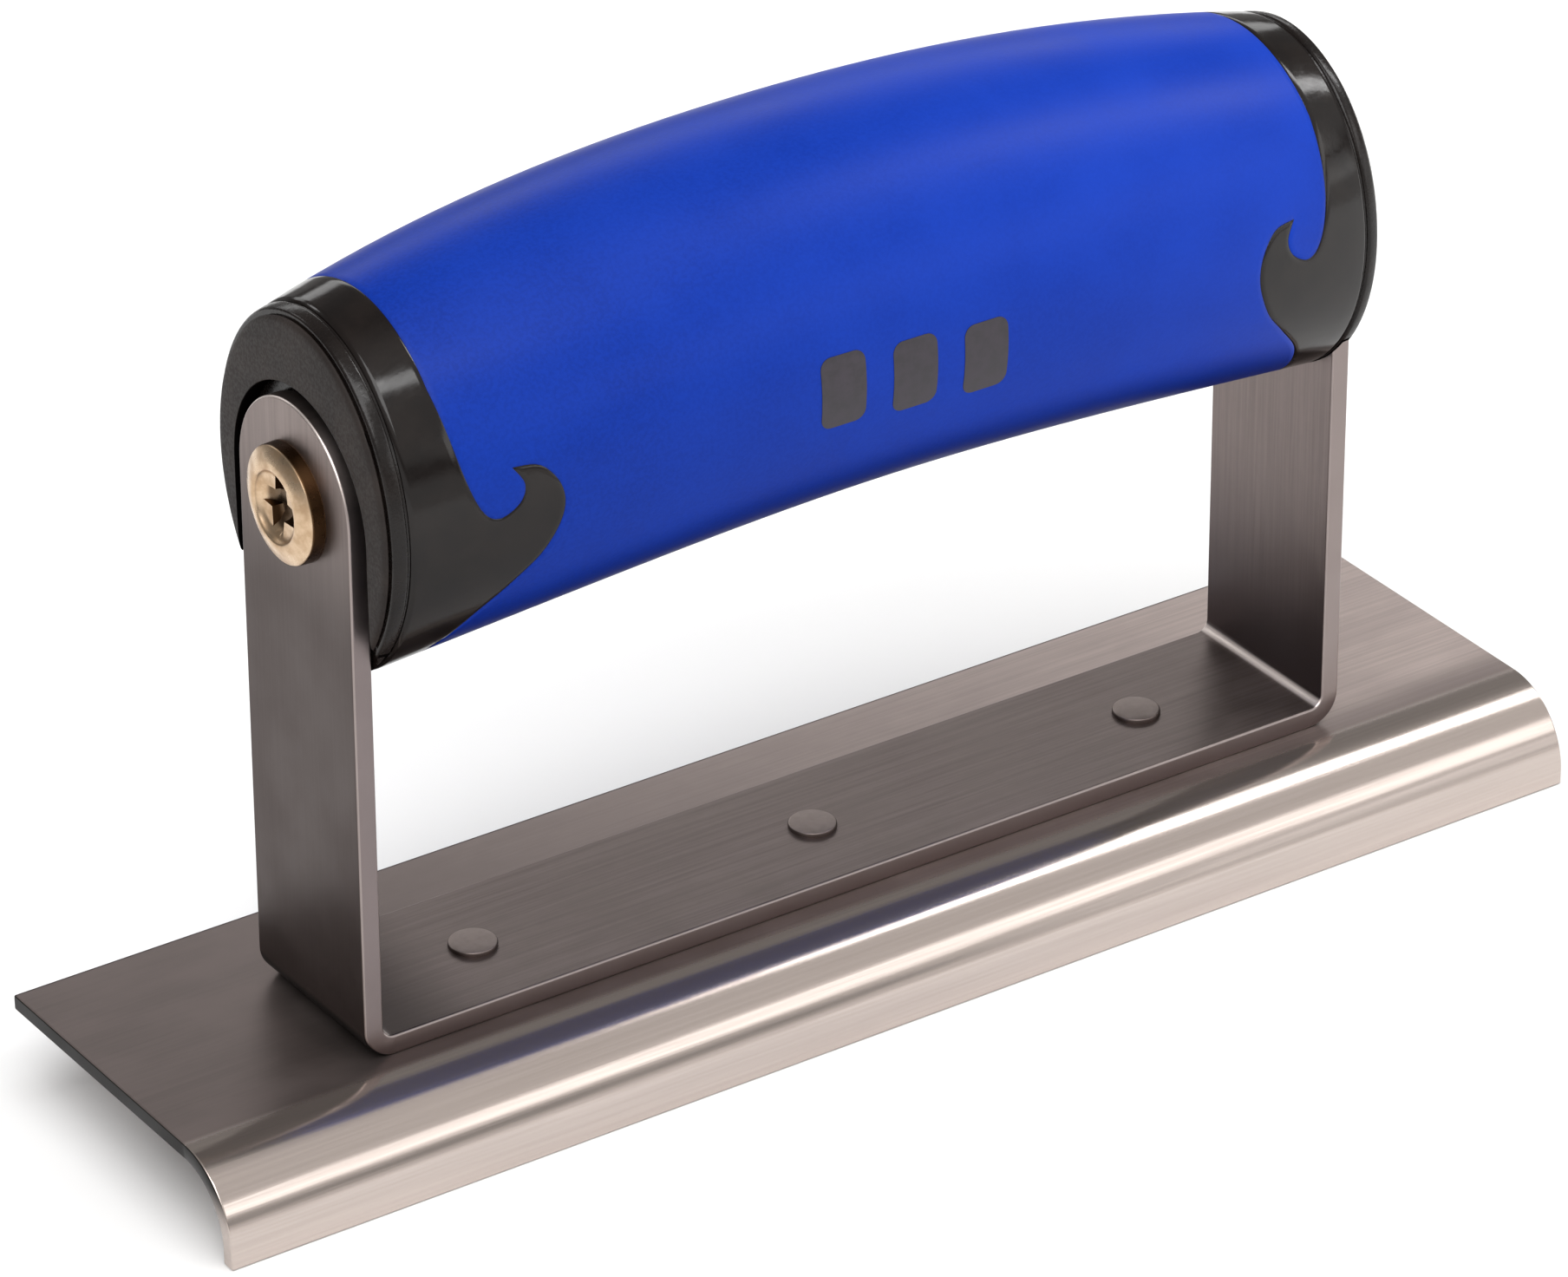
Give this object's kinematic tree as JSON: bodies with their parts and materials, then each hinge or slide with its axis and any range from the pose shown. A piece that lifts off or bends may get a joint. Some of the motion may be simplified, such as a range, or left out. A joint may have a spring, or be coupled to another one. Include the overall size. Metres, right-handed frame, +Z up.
{
  "type": "concrete hand edger",
  "caption": "Hand edger for concrete: a flat steel blade with a rolled front edge and lip, a riveted U-shaped bracket and an arched two-colour grip held by end screws.",
  "frame": {"origin": "centre of the part's box in plan, at the height of the lip's lower edge", "axes": "+X along the blade's length, +Y from the lip to the blade's rear edge, +Z up through the handle"},
  "size_m": [0.1524, 0.0388, 0.0873],
  "materials": {
    "blade_steel": "satin sheet, polished along the roll",
    "strap_steel": "satin, lighter along its cut edges",
    "rivet_steel": "satin",
    "core_plastic": "smooth black, glossy",
    "grip_rubber": "smooth royal blue soft grip, satin",
    "cap_plastic": "matte black",
    "insert_brass": "turned",
    "screw_brass": "yellow plated, bright"
  },
  "bodies": {
    "root": {"blade": "blade_steel", "bracket": "strap_steel", "rivet_left": "rivet_steel", "rivet_middle": "rivet_steel", "rivet_right": "rivet_steel", "handle_core": "core_plastic", "grip_sleeve": "grip_rubber", "end_cap_left": "cap_plastic", "end_cap_right": "cap_plastic", "insert_left": "insert_brass", "insert_right": "insert_brass", "screw_left": "screw_brass", "screw_right": "screw_brass"}
  },
  "joints": []
}
